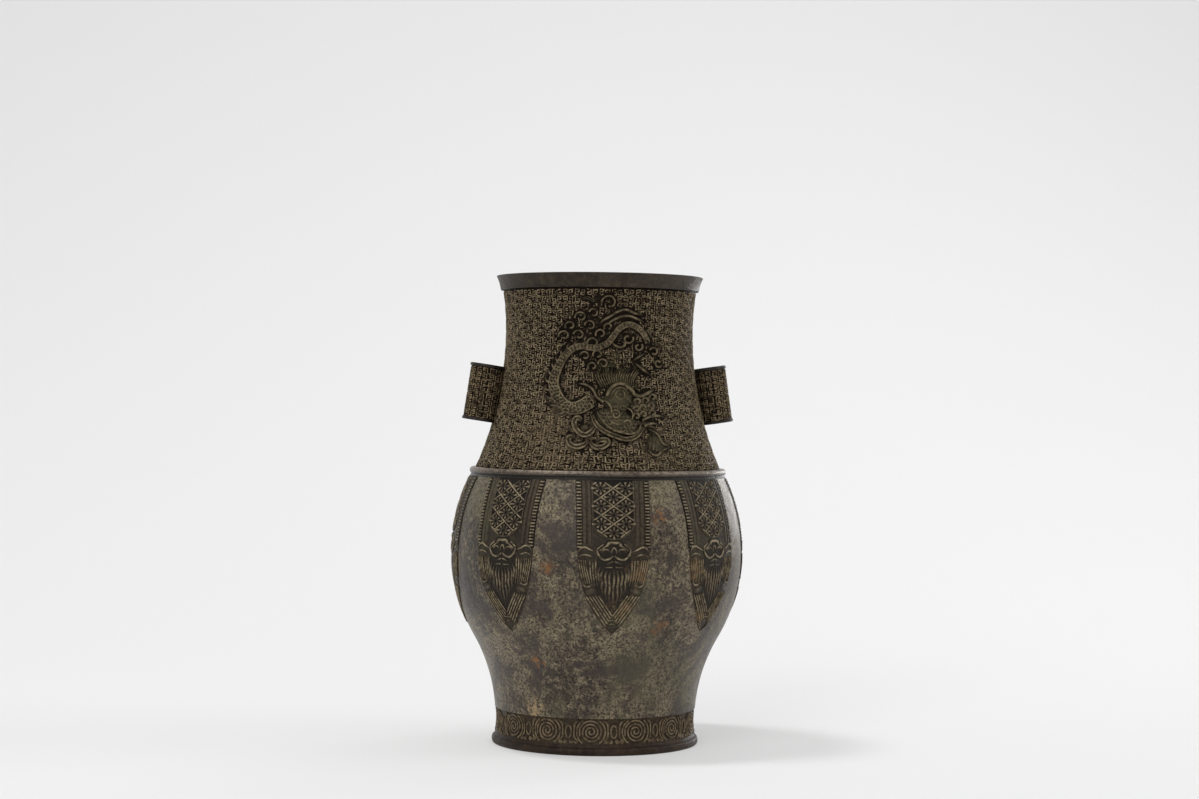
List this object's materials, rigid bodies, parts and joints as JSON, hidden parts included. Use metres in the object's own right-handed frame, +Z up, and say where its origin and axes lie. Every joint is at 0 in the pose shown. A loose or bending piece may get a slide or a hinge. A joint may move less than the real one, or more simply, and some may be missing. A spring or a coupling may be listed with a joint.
{
  "type": "bronze hu vessel",
  "caption": "Round-bodied cast bronze hu jar on a ring foot, with a waisted neck, collared mouth, upright tube lugs at the sides of the neck and relief lappets on the belly.",
  "frame": {"origin": "centre of the face that the foot stands on", "axes": "+Z up along the vessel's axis, lugs on the X axis, -Y towards the front dragon"},
  "size_m": [0.2142, 0.2142, 0.34],
  "materials": {
    "smooth_bronze": "smooth dark patina",
    "neck_bronze": "dark patina over fine cast ornament",
    "relief_bronze": "dark patina with worn high points",
    "belly_bronze": "mottled grey-brown patina",
    "foot_bronze": "dark patina over cast scrolls",
    "handle_bronze": "dark patina over fine cast ornament",
    "base_bronze": "rough dark patina"
  },
  "bodies": {
    "root": {"rim_collar": "smooth_bronze", "neck_wall": "neck_bronze", "front_dragon": "relief_bronze", "back_dragon": "relief_bronze", "shoulder_rib": "smooth_bronze", "belly_wall": "belly_bronze", "foot_band": "foot_bronze", "foot_flange": "smooth_bronze", "base_plate": "base_bronze", "left_handle_tube": "handle_bronze", "left_handle_top_ring": "handle_bronze", "left_handle_bottom_ring": "handle_bronze", "right_handle_tube": "handle_bronze", "right_handle_top_ring": "handle_bronze", "right_handle_bottom_ring": "handle_bronze", "lappet_1": "relief_bronze", "lappet_2": "relief_bronze", "lappet_3": "relief_bronze", "lappet_4": "relief_bronze", "lappet_5": "relief_bronze", "lappet_6": "relief_bronze", "lappet_7": "relief_bronze", "lappet_8": "relief_bronze"}
  },
  "joints": []
}
